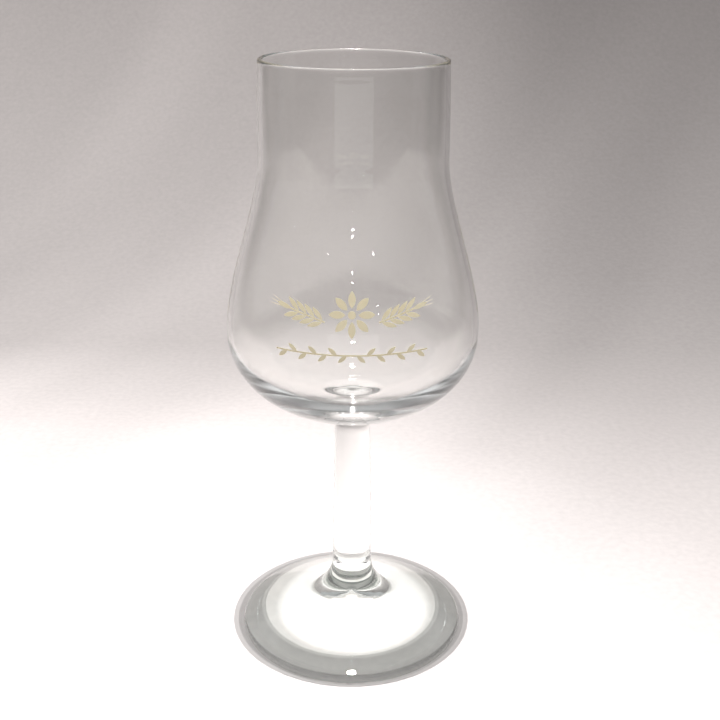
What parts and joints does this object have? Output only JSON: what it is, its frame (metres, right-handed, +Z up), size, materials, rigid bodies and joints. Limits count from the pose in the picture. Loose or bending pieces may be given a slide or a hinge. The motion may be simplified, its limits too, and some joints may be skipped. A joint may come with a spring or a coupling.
{
  "type": "whisky nosing glass",
  "caption": "Stemmed tulip glass for nosing spirits, with a round foot and a cream enamel ornament on the bowl.",
  "frame": {"origin": "centre of the resting face under the foot", "axes": "+Z up along the axis of the stem, the ornament faces -Y, +X is to the right of someone who looks at the ornament"},
  "size_m": [0.0644, 0.0642, 0.155],
  "materials": {
    "bowl_glass": "clear blown soda-lime glass, fire polished",
    "stem_glass": "clear drawn soda-lime glass",
    "foot_glass": "clear pressed soda-lime glass, faintly green in its thickness",
    "enamel": "fired cream enamel, satin"
  },
  "bodies": {
    "root": {"bowl": "bowl_glass", "stem": "stem_glass", "foot": "foot_glass", "enamel_sprig_left": "enamel", "enamel_sprig_right": "enamel", "enamel_rosette": "enamel", "enamel_garland": "enamel"}
  },
  "joints": []
}
